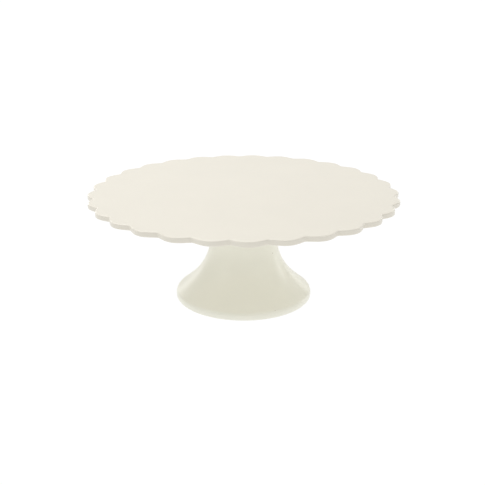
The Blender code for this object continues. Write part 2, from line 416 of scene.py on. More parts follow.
# How far the rim dips at a column, and how much its slope stretches what is measured inwards
LOBE_SUMS = (
    ("even_turn", "DIVIDE", "column", "Steps a Lobe"),
    ("turn_angle", "MULTIPLY", "even_turn", math.tau),
    ("wave", "SINE", "turn_angle"),
    ("crowd", "MULTIPLY", "wave", "Notch Crowding"),
    ("shift", "DIVIDE", "crowd", math.tau),
    ("lobe_turn", "SUBTRACT", "even_turn", "shift"),
    ("half_angle", "MULTIPLY", "lobe_turn", math.pi),
    ("sine", "SINE", "half_angle"),
    ("cosine", "COSINE", "half_angle"),
    ("swing", "ABSOLUTE", "sine"),
    ("lean", "ABSOLUTE", "cosine"),
    ("swing_squared", "MULTIPLY", "swing", "swing"),
    ("softness_squared", "MULTIPLY", "Notch Softness", "Notch Softness"),
    ("soft_top", "ADD", "swing_squared", "softness_squared"),
    ("soft_bottom", "ADD", "softness_squared", 1.0),
    ("soft_squared", "DIVIDE", "soft_top", "soft_bottom"),
    ("soft_swing", "SQRT", "soft_squared"),
    ("raised", "POWER", "soft_swing", "Lobe Roundness"),
    ("lowered", "SUBTRACT", 1.0, "raised"),
    ("dip", "MULTIPLY", "lowered", "Lobe Depth"),
    ("lobe_half", "MULTIPLY", "Lobes", 0.5),
    ("slope_1", "MULTIPLY", "raised", "swing"),
    ("slope_2", "MULTIPLY", "slope_1", "lean"),
    ("slope_3", "DIVIDE", "slope_2", "soft_top"),
    ("slope_4", "MULTIPLY", "slope_3", "Lobe Depth"),
    ("slope_5", "MULTIPLY", "slope_4", "Lobe Roundness"),
    ("slope_6", "MULTIPLY", "slope_5", "lobe_half"),
    ("slope", "DIVIDE", "slope_6", "Rim Radius"),
    ("slope_squared", "MULTIPLY", "slope", "slope"),
    ("stretch_squared", "ADD", "slope_squared", 1.0),
    ("stretch", "SQRT", "stretch_squared"),
)
# The radius and the angle of a point, with the lobe's dip and stretch fading out inwards
RIM_SUMS = (
    ("extra", "SUBTRACT", "stretch", 1.0),
    ("faded_extra", "MULTIPLY", "extra", "fade"),
    ("faded_stretch", "ADD", "faded_extra", 1.0),
    ("inset", "MULTIPLY", "from_rim", "faded_stretch"),
    ("faded_dip", "MULTIPLY", "dip", "fade"),
    ("inward", "ADD", "inset", "faded_dip"),
    ("radius", "SUBTRACT", "Rim Radius", "inward"),
    ("lobe_angle", "DIVIDE", math.tau, "Lobes"),
    ("lobe_offset", "DIVIDE", "lobe_angle", 2.0),
    ("around", "MULTIPLY", "lobe_turn", "lobe_angle"),
    ("from_front", "ADD", "around", "lobe_offset"),
    ("angle", "SUBTRACT", "from_front", math.pi / 2),
)

# A thread's rows in each turn, then half its crest's width and a flank's width, both in pitches
THREAD_ROWS = 16
CREST_HALF = 1 / 16
FLANK = 0.354

# How many columns and rows a thread has, with a closing row at each end
THREAD_COUNTS = (
    ("columns", "ADD", "Steps", 1.0),
    ("length", "SUBTRACT", "Top", "Start"),
    ("turns", "DIVIDE", "length", "Pitch"),
    ("more_turns", "ADD", "turns", 1.0),
    ("whole_turns", "CEIL", "more_turns"),
    ("turn_rows", "MULTIPLY", "whole_turns", THREAD_ROWS),
    ("rows", "ADD", "turn_rows", 3.0),
    ("last_row", "SUBTRACT", "rows", 1.5),
)
# The radius, the height and the angle of a point on a thread
THREAD_SUMS = (
    ("turn", "DIVIDE", "column", "Steps"),
    ("row_after", "SUBTRACT", "row", 1.0),
    ("row_turns", "DIVIDE", "row_after", THREAD_ROWS),
    ("climb", "ADD", "row_turns", "turn"),
    ("climb_less", "SUBTRACT", "climb", 1.0),
    ("rise", "MULTIPLY", "climb_less", "Pitch"),
    ("free_height", "ADD", "Start", "rise"),
    ("low_height", "MAXIMUM", "free_height", "Bottom"),
    ("height", "MINIMUM", "low_height", "Top"),
    ("from_start", "SUBTRACT", "height", "Start"),
    ("in_pitches", "DIVIDE", "from_start", "Pitch"),
    ("behind", "SUBTRACT", "in_pitches", "turn"),
    ("phase", "FRACT", "behind"),
    ("off_crest", "SUBTRACT", "phase", 0.5),
    ("away", "ABSOLUTE", "off_crest"),
    ("past_crest", "SUBTRACT", "away", CREST_HALF),
    ("down_flank", "DIVIDE", "past_crest", FLANK),
    ("above_root", "MINIMUM", "down_flank", 1.0),
    ("groove", "MAXIMUM", "above_root", 0.0),
    ("cut", "MULTIPLY", "groove", "Thread Depth"),
    ("threaded", "SUBTRACT", "Major Radius", "cut"),
    ("over_bottom", "SUBTRACT", "height", "Bottom"),
    ("low_cone", "ADD", "over_bottom", "Bottom Radius"),
    ("under_top", "SUBTRACT", "Top", "height"),
    ("high_cone", "ADD", "under_top", "Top Radius"),
    ("coned", "MINIMUM", "threaded", "low_cone"),
    ("pointed", "MINIMUM", "coned", "high_cone"),
    ("after_first", "GREATER_THAN", "row", 0.5),
    ("before_last", "LESS_THAN", "row", "last_row"),
    ("off_pole", "MULTIPLY", "after_first", "before_last"),
    ("radius", "MULTIPLY", "pointed", "off_pole"),
    ("angle", "MULTIPLY", "turn", math.tau),
)


def shape_tree(name, inputs):
    """A new Geometry Nodes tree with named inputs, its group input and its values by name."""
    tree = bpy.data.node_groups.new(name, "GeometryNodeTree")
    sockets = tree.interface
    sockets.new_socket("Profile", in_out="INPUT", socket_type="NodeSocketGeometry")
    for label, default in inputs.items():
        kind = "NodeSocketInt" if isinstance(default, int) else "NodeSocketFloat"
        made = sockets.new_socket(label, in_out="INPUT", socket_type=kind)
        made.default_value = default
    sockets.new_socket("Finish", in_out="INPUT", socket_type="NodeSocketMaterial")
    sockets.new_socket("Shape", in_out="OUTPUT", socket_type="NodeSocketGeometry")
    given = add_node(tree, "NodeGroupInput")
    values = {socket.name: socket for socket in given.outputs if socket.name}
    values["index"] = add_node(tree, "GeometryNodeInputIndex").outputs[0]
    return tree, values


def finish_tree(tree, values, inside_out=False):
    """Puts a grid's points at their radius, angle and height, welds it and gives it its finish."""
    work_out(tree, values, *ROUND_SUMS)
    grid = add_node(
        tree, "GeometryNodeMeshGrid", {"Vertices X": values["rows"], "Vertices Y": values["columns"]}
    )
    place = add_node(
        tree, "ShaderNodeCombineXYZ", {"X": values["x"], "Y": values["y"], "Z": values["height"]}
    )
    moved = add_node(
        tree,
        "GeometryNodeSetPosition",
        {"Geometry": grid.outputs["Mesh"], "Position": place.outputs[0]},
    )
    welded = add_node(
        tree, "GeometryNodeMergeByDistance", {"Geometry": moved.outputs[0], "Distance": MERGE}
    )
    shape = welded.outputs[0]
    if inside_out:
        shape = add_node(tree, "GeometryNodeFlipFaces", {"Mesh": shape}).outputs[0]
    smooth = add_node(tree, "GeometryNodeSetShadeSmooth", {"Geometry": shape, "Shade Smooth": True})
    real = add_node(tree, "GeometryNodeRealizeInstances", {"Geometry": smooth.outputs[0]})
    dressed = add_node(
        tree, "GeometryNodeSetMaterial", {"Geometry": real.outputs[0], "Material": values["Finish"]}
    )
    add_node(tree, "NodeGroupOutput", {"Shape": dressed.outputs[0]})
    return tree


def turned_tree():
    """Turns a row of profile points (radius, 0, height) about Z.

    With more than one lobe the rim is scalloped. The notches fade out inwards, so a round boss or
    bore inside a scalloped rim stays round.
    """
    tree, values = shape_tree(
        "Turned moulding",
        {
            "Lobes": 1,
            "Steps a Lobe": 144,
            "Lobe Depth": 0.0,
            "Lobe Roundness": 2.0,
            "Notch Softness": 0.0,
            "Notch Crowding": 0.0,
            "Rim Radius": 1.0,
            "Lobe Reach": 1.0,
        },
    )
    size = add_node(
        tree, "GeometryNodeAttributeDomainSize", {"Geometry": values["Profile"]}, component="MESH"
    )
    values["rows"] = size.outputs["Point Count"]
    work_out(tree, values, *LOBE_COUNTS, *GRID_SUMS, *LOBE_SUMS)
    position = add_node(tree, "GeometryNodeInputPosition")
    point = add_node(
        tree,
        "GeometryNodeSampleIndex",
        {"Geometry": values["Profile"], "Value": position.outputs[0], "Index": values["row"]},
        data_type="FLOAT_VECTOR",
        domain="POINT",
    )
    split = add_node(tree, "ShaderNodeSeparateXYZ", {0: point.outputs["Value"]})
    values["reach"] = split.outputs["X"]
    values["height"] = split.outputs["Z"]
    work_out(tree, values, ("from_rim", "SUBTRACT", "Rim Radius", "reach"))
    fade = add_node(
        tree,
        "ShaderNodeMapRange",
        {"Value": values["from_rim"], "From Max": values["Lobe Reach"], "To Min": 1.0, "To Max": 0.0},
        interpolation_type="SMOOTHSTEP",
    )
    values["fade"] = fade.outputs["Result"]
    work_out(tree, values, *RIM_SUMS)
    return finish_tree(tree, values)


def thread_tree():
    """A right-handed screw thread, closed at both ends by a 45 degree cone and a flat.

    Start sets the thread's phase, so a bolt and an insert with the same Start mesh.
    """
    tree, values = shape_tree(
        "Screw thread",
        {
            "Steps": 48,
            "Major Radius": 4.0 * MM,
            "Thread Depth": 0.767 * MM,
            "Pitch": 1.25 * MM,
            "Start": 0.0,
            "Bottom": 0.0,
            "Top": 0.01,
            "Bottom Radius": 3.0 * MM,
            "Top Radius": 3.0 * MM,
        },
    )
    work_out(tree, values, *THREAD_COUNTS, *GRID_SUMS, *THREAD_SUMS)
    return finish_tree(tree, values, inside_out=True)


def add_object(name, data):
    """A new object in the scene."""
    thing = bpy.data.objects.new(name, data)
    bpy.context.scene.collection.objects.link(thing)
    return thing


def settle(piece):
    """Turns a piece's live modifiers into its own plain mesh."""
    bpy.context.view_layer.update()
    graph = bpy.context.evaluated_depsgraph_get()
    mesh = bpy.data.meshes.new_from_object(piece.evaluated_get(graph))
    old = piece.data
    piece.modifiers.clear()
    piece.data = mesh
    bpy.data.meshes.remove(old)
    mesh.name = piece.name


def grow(name, profile, tree_maker, material, **settings):
    """The plain piece that a tree grows from profile points. A setting's name has its spaces as _."""
    tree = made_once(tree_maker)
    mesh = bpy.data.meshes.new(name)
    mesh.from_pydata([(radius, 0.0, height) for radius, height in profile], [], [])
    piece = add_object(name, mesh)
    modifier = piece.modifiers.new("shape", "NODES")
    modifier.node_group = tree
    wanted = {label.replace("_", " ").lower(): value for label, value in settings.items()}
    wanted["finish"] = material
    for socket in tree.interface.items_tree:
        if socket.item_type != "SOCKET" or socket.in_out != "INPUT":
            continue
        if socket.name.lower() in wanted:
            modifier[socket.identifier] = wanted.pop(socket.name.lower())
    if wanted:
        raise RuntimeError(f"{tree.name} has no input named {', '.join(wanted)}")
    settle(piece)
    if not piece.data.polygons:
        raise RuntimeError(f"{name} came out empty")
    return piece


def combine(piece, tool, operation):
    """Cuts a piece with a tool, or joins the two. The tool is used up."""
    boolean = piece.modifiers.new(operation.lower(), "BOOLEAN")
    boolean.operation = operation
    boolean.solver = "EXACT"
    boolean.object = tool
    settle(piece)
    bpy.data.objects.remove(tool, do_unlink=True)


def place_piece(piece, material, body, node):
    """Dresses a finished piece, puts it on its body and lets it stand for its CAD node."""
    mesh = piece.data
    mesh.materials.clear()
    mesh.materials.append(material)
    mesh.polygons.foreach_set("material_index", [0] * len(mesh.polygons))
    mesh.shade_smooth()
    mesh.set_sharp_from_angle(angle=SHARP)
    mesh.update()
    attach(piece, body)
    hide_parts(node)


def fillet_reach(corners, i, closed):
    """How far the fillet at corner i takes from the two straight runs that meet there."""
    here = Vector(corners[i][:2])
    fillet = corners[i][2]
    if not fillet or (not closed and i in (0, len(corners) - 1)):
        return 0.0
    back = Vector(corners[i - 1][:2]) - here
    onward = Vector(corners[(i + 1) % len(corners)][:2]) - here
    return fillet / math.tan(back.angle(onward) / 2)


def rounded(corners, closed=False):
    """Profile points from corners (radius, height, fillet radius).

    Each fillet has a close support point on either side, which keeps its shading to itself. A
    closed profile ends on the point it starts from.
    """
    points = []
    count = len(corners)
    reaches = [fillet_reach(corners, i, closed) for i in range(count)]
    for i, (radius, height, fillet) in enumerate(corners):
        here = Vector((radius, height))
        reach = reaches[i]
        if not reach:
            points.append(here)
            continue
        back = Vector(corners[i - 1][:2]) - here
        onward = Vector(corners[(i + 1) % count][:2]) - here
        half = back.angle(onward) / 2
        spare_back = min(SUPPORT, (back.length - reach - reaches[i - 1]) / 3)
        spare_on = min(SUPPORT, (onward.length - reach - reaches[(i + 1) % count]) / 3)
        back.normalize()
        onward.normalize()
        centre = here + (back + onward).normalized() * (fillet / math.sin(half))
        start = here + back * reach - centre
        end = here + onward * reach - centre
        sweep = math.copysign(math.pi - 2 * half, start.x * end.y - start.y * end.x)
        steps = max(2, round(abs(sweep) / FILLET_STEP))
        points.append(here + back * (reach + spare_back))
        for step in range(steps + 1):
            cosine = math.cos(sweep * step / steps)
            sine = math.sin(sweep * step / steps)
            turned = (start.x * cosine - start.y * sine, start.x * sine + start.y * cosine)
            points.append(centre + Vector(turned))
        points.append(here + onward * (reach + spare_on))
    if closed:
        points.append(points[0])
    return [tuple(point) for point in points]


def hexagon(name, flats, bottom, top, edge_round):
    """A hexagonal block with rounded corners."""
    corner = flats / 2 / math.cos(math.radians(30))
    ring = [(corner * math.cos(math.tau * i / 6), corner * math.sin(math.tau * i / 6)) for i in range(6)]
    points = [(x, y, bottom) for x, y in ring] + [(x, y, top) for x, y in ring]
    sides = [(i, (i + 1) % 6, (i + 1) % 6 + 6, i + 6) for i in range(6)]
    mesh = bpy.data.meshes.new(name)
    mesh.from_pydata(points, [], [tuple(range(5, -1, -1)), tuple(range(6, 12)), *sides])
    block = add_object(name, mesh)
    bevel = block.modifiers.new("round", "BEVEL")
    bevel.width = edge_round
    bevel.segments = 3
    settle(block)
    return block


def new_material(name, base_colour, roughness, metallic=0.0):
    """A new material, its tree, its shader and its Object coordinates."""
    material = bpy.data.materials.new(name)
    material.use_nodes = True
    tree = material.node_tree
    shader = tree.nodes["Principled BSDF"]
    shader.inputs["Base Color"].default_value = base_colour
    shader.inputs["Roughness"].default_value = roughness
    shader.inputs["Metallic"].default_value = metallic
    material.diffuse_color = base_colour
    place = add_node(tree, "ShaderNodeTexCoord").outputs["Object"]
    return material, tree, shader, place


def vary_roughness(tree, shader, source, low, high):
    """Lets a 0 to 1 pattern swing the roughness between two values."""
    spread = add_node(tree, "ShaderNodeMapRange", {"Value": source, "To Min": low, "To Max": high})
    tree.links.new(spread.outputs["Result"], shader.inputs["Roughness"])


def vary_shade(tree, base_colour, source, low, high):
    """A colour whose lightness swings between two factors with a 0 to 1 pattern."""
    shade = add_node(tree, "ShaderNodeMapRange", {"Value": source, "To Min": low, "To Max": high})
    tinted = add_node(
        tree,
        "ShaderNodeVectorMath",
        {0: tuple(base_colour)[:3], "Scale": shade.outputs["Result"]},
        operation="SCALE",
    )
    return tinted.outputs[0]


def moulded_composite(name, base_colour, fibre_colour):
    """Melamine resin filled with bamboo fibre, compression moulded in a polished tool.

    It has a satin gloss, a faint cloudiness a few centimetres wide where the filler has flowed, a
    finer mottle, and a rare short fibre that shows through the skin as a tan speck.
    """
    cloud_mm = 30.0
    mottle_mm = 5.0
    ripple_mm = 14.0
    skin_mm = 0.9
    cloud_share = 0.6
    # Most cells are bare, and the widest speck's radius is this share of its cell's width
    speck_cell_mm = 9.0
    bare_share = 0.8
    widest_speck = 0.065
    speck_crispness = 60.0
    speck_cover = 0.75
    material, tree, shader, place = new_material(name, base_colour, 0.31)
    shader.inputs["IOR"].default_value = 1.57
    cloud = add_node(
        tree,
        "ShaderNodeTexNoise",
        {"Vector": place, "Scale": per_metre(cloud_mm), "Detail": 2.0, "Roughness": 0.5},
    )
    mottle = add_node(
        tree,
        "ShaderNodeTexNoise",
        {"Vector": place, "Scale": per_metre(mottle_mm), "Detail": 3.0, "Roughness": 0.6},
    )
    cells = add_node(
        tree,
        "ShaderNodeTexVoronoi",
        {"Vector": place, "Scale": per_metre(speck_cell_mm), "Randomness": 1.0},
    )
    chosen = add_node(tree, "ShaderNodeSeparateColor", {0: cells.outputs["Color"]})
    values = {
        "cloud": cloud.outputs["Fac"],
        "mottle": mottle.outputs["Fac"],
        "distance": cells.outputs["Distance"],
        "pick": chosen.outputs["Red"],
        "size": chosen.outputs["Green"],
    }
    work_out(
        tree,
        values,
        ("cloud_part", "MULTIPLY", "cloud", cloud_share),
        ("mottle_part", "MULTIPLY", "mottle", 1.0 - cloud_share),
        ("blend", "ADD", "cloud_part", "mottle_part"),
        ("picked", "GREATER_THAN", "pick", bare_share),
        ("speck_size", "MULTIPLY", "size", widest_speck),
        ("speck_edge", "SUBTRACT", "speck_size", "distance"),
        ("speck_sharp", "MULTIPLY", "speck_edge", speck_crispness),
        ("speck_low", "MAXIMUM", "speck_sharp", 0.0),
        ("speck_full", "MINIMUM", "speck_low", speck_cover),
        ("speck", "MULTIPLY", "speck_full", "picked"),
    )
    clouded = vary_shade(tree, base_colour, values["blend"], 0.975, 1.025)
    specked = add_node(
        tree,
        "ShaderNodeMix",
        {0: values["speck"], 6: clouded, 7: tuple(fibre_colour)},
        data_type="RGBA",
    )
    tree.links.new(specked.outputs[2], shader.inputs["Base Color"])
    vary_roughness(tree, shader, values["cloud"], 0.285, 0.345)
    ripple = add_node(
        tree,
        "ShaderNodeTexNoise",
        {"Vector": place, "Scale": per_metre(ripple_mm), "Detail": 1.0},
    )
    skin = add_node(
        tree,
        "ShaderNodeTexNoise",
        {"Vector": place, "Scale": per_metre(skin_mm), "Detail": 2.0},
    )
    broad = add_node(
        tree,
        "ShaderNodeBump",
        {"Height": ripple.outputs["Fac"], "Distance": 0.05 * MM, "Strength": 1.0},
    )
    fine = add_node(
        tree,
        "ShaderNodeBump",
        {
            "Height": skin.outputs["Fac"],
            "Distance": 0.0006 * MM,
            "Strength": 1.0,
            "Normal": broad.outputs[0],
        },
    )
    tree.links.new(fine.outputs[0], shader.inputs["Normal"])
    return material


def plate_composite(colours):
    """The plate's batch of the moulding compound."""
    return moulded_composite("bamboo_melamine_plate", colours.cream, colours.fibre)


def pedestal_composite(colours):
    """The pedestal's copy of the moulding compound, painted lighter and greener than the plate's to stand in
    for the shade under the plate and the light bounced up into it.
    """
    return moulded_composite("bamboo_melamine_pedestal", colours.pedestal_cream_painted_lighter, colours.fibre)


def moulded_silicone(colours):
    """Food-grade silicone rubber, compression moulded: matt, milky and slightly see-through at edges."""
    cloud_mm = 8.0
    grain_mm = 0.6
    material, tree, shader, place = new_material("silicone_moulded", colours.silicone, 0.55)
    shader.inputs["IOR"].default_value = 1.41
    shader.inputs["Subsurface Weight"].default_value = 0.35
    shader.inputs["Subsurface Radius"].default_value = (1.0, 0.9, 0.8)
    shader.inputs["Subsurface Scale"].default_value = 1.2 * MM
    cloud = add_node(
        tree, "ShaderNodeTexNoise", {"Vector": place, "Scale": per_metre(cloud_mm), "Detail": 2.0}
    )
    grain = add_node(
        tree, "ShaderNodeTexNoise", {"Vector": place, "Scale": per_metre(grain_mm), "Detail": 2.0}
    )
    shade = vary_shade(tree, colours.silicone, cloud.outputs["Fac"], 0.94, 1.04)
    tree.links.new(shade, shader.inputs["Base Color"])
    vary_roughness(tree, shader, grain.outputs["Fac"], 0.48, 0.64)
    bump = add_node(
        tree, "ShaderNodeBump", {"Height": grain.outputs["Fac"], "Distance": 0.02 * MM, "Strength": 1.0}
    )
    tree.links.new(bump.outputs[0], shader.inputs["Normal"])
    return material


def textured_nylon(colours):
    """Glass-filled nylon, injection moulded in a spark-eroded tool: a fine even pebble grain."""
    pebble_mm = 0.5
    cloud_mm = 9.0
    material, tree, shader, place = new_material("nylon_spark_textured", colours.knob, 0.5)
    shader.inputs["IOR"].default_value = 1.53
    pebble = add_node(
        tree, "ShaderNodeTexVoronoi", {"Vector": place, "Scale": per_metre(pebble_mm)}, feature="SMOOTH_F1"
    )
    cloud = add_node(
        tree, "ShaderNodeTexNoise", {"Vector": place, "Scale": per_metre(cloud_mm), "Detail": 3.0}
    )
    shade = vary_shade(tree, colours.knob, cloud.outputs["Fac"], 0.93, 1.05)
    tree.links.new(shade, shader.inputs["Base Color"])
    vary_roughness(tree, shader, cloud.outputs["Fac"], 0.42, 0.58)
    bump = add_node(
        tree,
        "ShaderNodeBump",
        {"Height": pebble.outputs["Distance"], "Distance": 0.03 * MM, "Strength": 0.8},
    )
    tree.links.new(bump.outputs[0], shader.inputs["Normal"])
    return material


def machined_brass(colours):
    """Free-cutting brass, turned and knurled: warm, with fine tool rings and a few dull patches."""
    ring_mm = 0.25
    tarnish_mm = 4.0
    material, tree, shader, place = new_material("brass_turned", colours.brass, 0.3, metallic=1.0)
    rings = add_node(
        tree,
        "ShaderNodeTexWave",
        {"Vector": place, "Scale": per_metre(ring_mm) / math.tau, "Distortion": 0.3},
        wave_type="BANDS",
        bands_direction="Z",
    )
    tarnish = add_node(
        tree, "ShaderNodeTexNoise", {"Vector": place, "Scale": per_metre(tarnish_mm), "Detail": 3.0}
    )
    shade = vary_shade(tree, colours.brass, tarnish.outputs["Fac"], 0.82, 1.08)
    tree.links.new(shade, shader.inputs["Base Color"])
    vary_roughness(tree, shader, tarnish.outputs["Fac"], 0.28, 0.42)
    bump = add_node(
        tree, "ShaderNodeBump", {"Height": rings.outputs["Fac"], "Distance": 0.01 * MM, "Strength": 0.6}
    )
    tree.links.new(bump.outputs[0], shader.inputs["Normal"])
    return material


def zinc_plated_steel(colours):
    """Cold-formed steel, zinc plated and clear passivated: bright grey with a faint blue and straw bloom."""
    bloom_mm = 5.0
    grain_mm = 0.35
    material, tree, shader, place = new_material("zinc_plate_passivated", colours.zinc, 0.3, metallic=1.0)
    bloom = add_node(
        tree, "ShaderNodeTexNoise", {"Vector": place, "Scale": per_metre(bloom_mm), "Detail": 2.0}
    )
    grain = add_node(
        tree, "ShaderNodeTexNoise", {"Vector": place, "Scale": per_metre(grain_mm), "Detail": 3.0}
    )
    tint = add_node(tree, "ShaderNodeValToRGB", {"Fac": bloom.outputs["Fac"]})
    stops = tint.color_ramp.elements
    stops[0].position = 0.35
    stops[0].color = linear("C4CAD0")
    stops[1].position = 0.65
    stops[1].color = linear("D4D0C4")
    middle = stops.new(0.5)
    middle.color = colours.zinc
    tree.links.new(tint.outputs["Color"], shader.inputs["Base Color"])
    vary_roughness(tree, shader, grain.outputs["Fac"], 0.28, 0.44)
    bump = add_node(
        tree, "ShaderNodeBump", {"Height": grain.outputs["Fac"], "Distance": 0.008 * MM, "Strength": 0.8}
    )
    tree.links.new(bump.outputs[0], shader.inputs["Normal"])
    return material


# Each finish and each tree is made by the first piece that asks for it
MADE = {}


def made_once(maker, *given):
    """What a function for a finish or a tree makes, made once and then shared."""
    if maker not in MADE:
        MADE[maker] = maker(*given)
    return MADE[maker]


def finish(maker):
    """The material that a finish function makes from the scene's colours."""
    return made_once(maker, bpy.context.scene.stand_colours)


class STAND_OT_plate(bpy.types.Operator):
    """Moulds the scalloped plate with its boss for the insert"""

    bl_idname = "cake_stand.plate"
    bl_label = "Scalloped Plate"

    def execute(self, context):
        sizes = context.scene.stand_plate
        top = PLATE_BOX[1][2]
        under = top - sizes.thickness
        boss_bottom = PLATE_BOX[0][2]
        hole_radius = INSERT_BOX[1][0] + CLEARANCE
        hole_top = INSERT_BOX[1][2] + CLEARANCE
        edge = sizes.edge_round
        rim = sizes.rim_radius
        # The top falls away a little just inside the rim
        fall = 0.06 * MM
        fall_width = 5.0 * MM
        # Rows of points between the axis and the rim, closer together where the lobes begin
        ring_shares = (0.35, 0.7, 0.85, 0.92)
        profile = rounded(
            [
                (0.0, top, 0),
                *((rim * share, top, 0) for share in ring_shares),
                (rim - fall_width, top, 0),
                (rim, top - fall, edge),
                (rim, under, edge),
                (rim * 0.96, under, 0),
                *((rim * share, under, 0) for share in reversed(ring_shares)),
                (sizes.boss_radius, under, 0.6 * MM),
                (sizes.boss_radius, boss_bottom, 0.8 * MM),
                (hole_radius, boss_bottom, 0.3 * MM),
                (hole_radius, hole_top, 0.2 * MM),
                (0.0, hole_top, 0),
            ]
        )
        composite = finish(plate_composite)
        plate = grow(
            "plate_moulding",
            profile,
            turned_tree,
            composite,
            lobes=sizes.lobes,
            steps_a_lobe=36,
            lobe_depth=sizes.lobe_depth,
            lobe_roundness=sizes.lobe_roundness,
            notch_softness=sizes.notch_softness,
            notch_crowding=0.7,
            rim_radius=rim,
            lobe_reach=rim * 0.2,
        )
        place_piece(plate, composite, "plate", "scalloped_plate")
        return {"FINISHED"}


class STAND_OT_insert(bpy.types.Operator):
    """Makes the knurled, threaded brass insert in the plate's boss"""

    bl_idname = "cake_stand.insert"
    bl_label = "Threaded Insert"

    def execute(self, context):
        sizes = context.scene.stand_hardware
        low, high = INSERT_BOX
        radius = high[0]
        thread_play = 0.15 * MM
        bore = sizes.thread_radius - 0.55 * MM
        lead = sizes.thread_radius + 0.35 * MM
        groove = 0.5 * MM
        chamfer = 0.5 * MM
        top_chamfer = 0.4 * MM
        middle = (low[2] + high[2]) / 2
        profile = rounded(
            [
                (radius, high[2], 0.2 * MM),
                (radius, middle + groove, 0.1 * MM),
                (radius - groove, middle + groove / 2, 0.1 * MM),
                (radius - groove, middle - groove / 2, 0.1 * MM),
                (radius, middle - groove, 0.1 * MM),
                (radius, low[2] + chamfer, 0.1 * MM),
                (radius - chamfer, low[2], 0.1 * MM),
                (lead, low[2], 0.05 * MM),
                (bore, low[2] + lead - bore, 0),
                (bore, high[2] - top_chamfer, 0),
                (bore + top_chamfer, high[2], 0),
            ],
            closed=True,
        )
        brass = finish(machined_brass)
        insert = grow(
            "insert_knurled",
            profile,
            turned_tree,
            brass,
            lobes=sizes.insert_knurls,
            steps_a_lobe=6,
            lobe_depth=0.35 * MM,
            lobe_roundness=1.0,
            notch_softness=0.1,
            rim_radius=radius,
            lobe_reach=0.9 * MM,
        )
        tap = grow(
            "tap",
            [(0.0, 0.0)],
            thread_tree,
            brass,
            major_radius=sizes.thread_radius + thread_play,
            pitch=sizes.thread_pitch,
            start=BOLT_BOX[0][2],
            bottom=low[2] - MM,
            top=high[2] + MM,
            bottom_radius=sizes.thread_radius,
            top_radius=sizes.thread_radius,
        )
        combine(insert, tap, "DIFFERENCE")
        place_piece(insert, brass, "plate", "threaded_insert")
        return {"FINISHED"}


def flare_radius(sizes, height, head_top):
    """The pedestal's outer radius between its rim and its head."""
    if height < sizes.waist_height:
        share = (sizes.waist_height - height) / (sizes.waist_height - sizes.rim_height)
        spread = FOOT_RADIUS - sizes.waist_radius
        return sizes.waist_radius + spread * share**sizes.flare_power
    share = (height - sizes.waist_height) / (head_top - sizes.waist_height)
    return sizes.waist_radius + (sizes.head_radius - sizes.waist_radius) * share**2


class STAND_OT_pedestal(bpy.types.Operator):
    """Moulds the hollow flared pedestal with its deck, cup and seal grooves"""

    bl_idname = "cake_stand.pedestal"
    bl_label = "Flared Pedestal"

    def execute(self, context):
        sizes = context.scene.stand_pedestal
        plate = context.scene.stand_plate
        bottom = PEDESTAL_BOX[0][2]
        head_top = PEDESTAL_BOX[1][2]
        rim_inner = FOOT_RADIUS - sizes.rim_width
        deck = 5.0 * MM
        cup_radius = plate.boss_radius + 2 * CLEARANCE
        cup_floor = PLATE_BOX[0][2] - 0.5 * MM
        deck_bottom = cup_floor - deck
        hole = context.scene.stand_hardware.thread_radius + 0.5 * MM
        # The outside down to where the rim's fillet begins, with more rows in the flare
        flare_end = sizes.rim_height + 1.8 * MM
        head_rows = 20
        flare_rows = 40
        outer = []
        for i in range(1, head_rows):
            height = head_top - (head_top - sizes.waist_height) * i / head_rows
            outer.append((flare_radius(sizes, height, head_top), height, 0))
        for i in range(flare_rows + 1):
            height = sizes.waist_height - (sizes.waist_height - flare_end) * i / flare_rows
            outer.append((flare_radius(sizes, height, head_top), height, 0))
        # The inside, one wall in from the outside, between the foot's rim and the deck
        rim_inner_top = 3.4 * MM
        inner_low = 7.5 * MM
        deck_under = head_top - deck
        inner_high = deck_under - 1.2 * MM
        inner = []
        for before, here, after in zip(outer, outer[1:], outer[2:]):
            along = Vector((after[0] - before[0], after[1] - before[1])).normalized()
            inner.append((here[0] + along.y * sizes.wall, here[1] - along.x * sizes.wall, 0))
        inner = [point for point in reversed(inner) if inner_low < point[1] < inner_high]
        ring_high = FOOT_RING_BOX[1]
        ring_middle = FOOT_RADIUS - sizes.rim_width / 2
        groove_half = ring_high[0] - ring_middle + CLEARANCE
        groove_top = ring_high[2] + CLEARANCE
        seal_middle = GASKET_BOX[1][0] - GASKET_WIDTH / 2
        seal_half = GASKET_WIDTH / 2 + CLEARANCE
        seal_bottom = head_top - 0.9 * MM
        cup_wall = cup_radius + deck
        corners = [
            (sizes.head_radius, head_top, 0.5 * MM),
            *outer,
            (FOOT_RADIUS, sizes.rim_height, 4.5 * MM),
            (FOOT_RADIUS, bottom, 1.8 * MM),
            (ring_middle + groove_half, bottom, 0.25 * MM),
            (ring_middle + groove_half, groove_top, 0.2 * MM),
            (ring_middle - groove_half, groove_top, 0.2 * MM),
            (ring_middle - groove_half, bottom, 0.25 * MM),
            (rim_inner, bottom, 0.6 * MM),
            (rim_inner, rim_inner_top, 1.0 * MM),
            *inner,
            (flare_radius(sizes, deck_under, head_top) - sizes.wall, deck_under, 1.0 * MM),
            (cup_wall, deck_under, 1.0 * MM),
            (cup_wall, deck_bottom, 0.8 * MM),
            (hole, deck_bottom, 0.3 * MM),
            (hole, cup_floor, 0.3 * MM),
            (cup_radius, cup_floor, 0.5 * MM),
            (cup_radius, head_top, 0.5 * MM),
            (seal_middle - seal_half, head_top, 0.25 * MM),
            (seal_middle - seal_half, seal_bottom, 0.2 * MM),
            (seal_middle + seal_half, seal_bottom, 0.2 * MM),
            (seal_middle + seal_half, head_top, 0.25 * MM),
        ]
        composite = finish(pedestal_composite)
        pedestal = grow(
            "pedestal_moulding",
            rounded(corners, closed=True),
            turned_tree,
            composite,
            steps_a_lobe=192,
        )
        place_piece(pedestal, composite, "pedestal", "pedestal_shell")
        return {"FINISHED"}


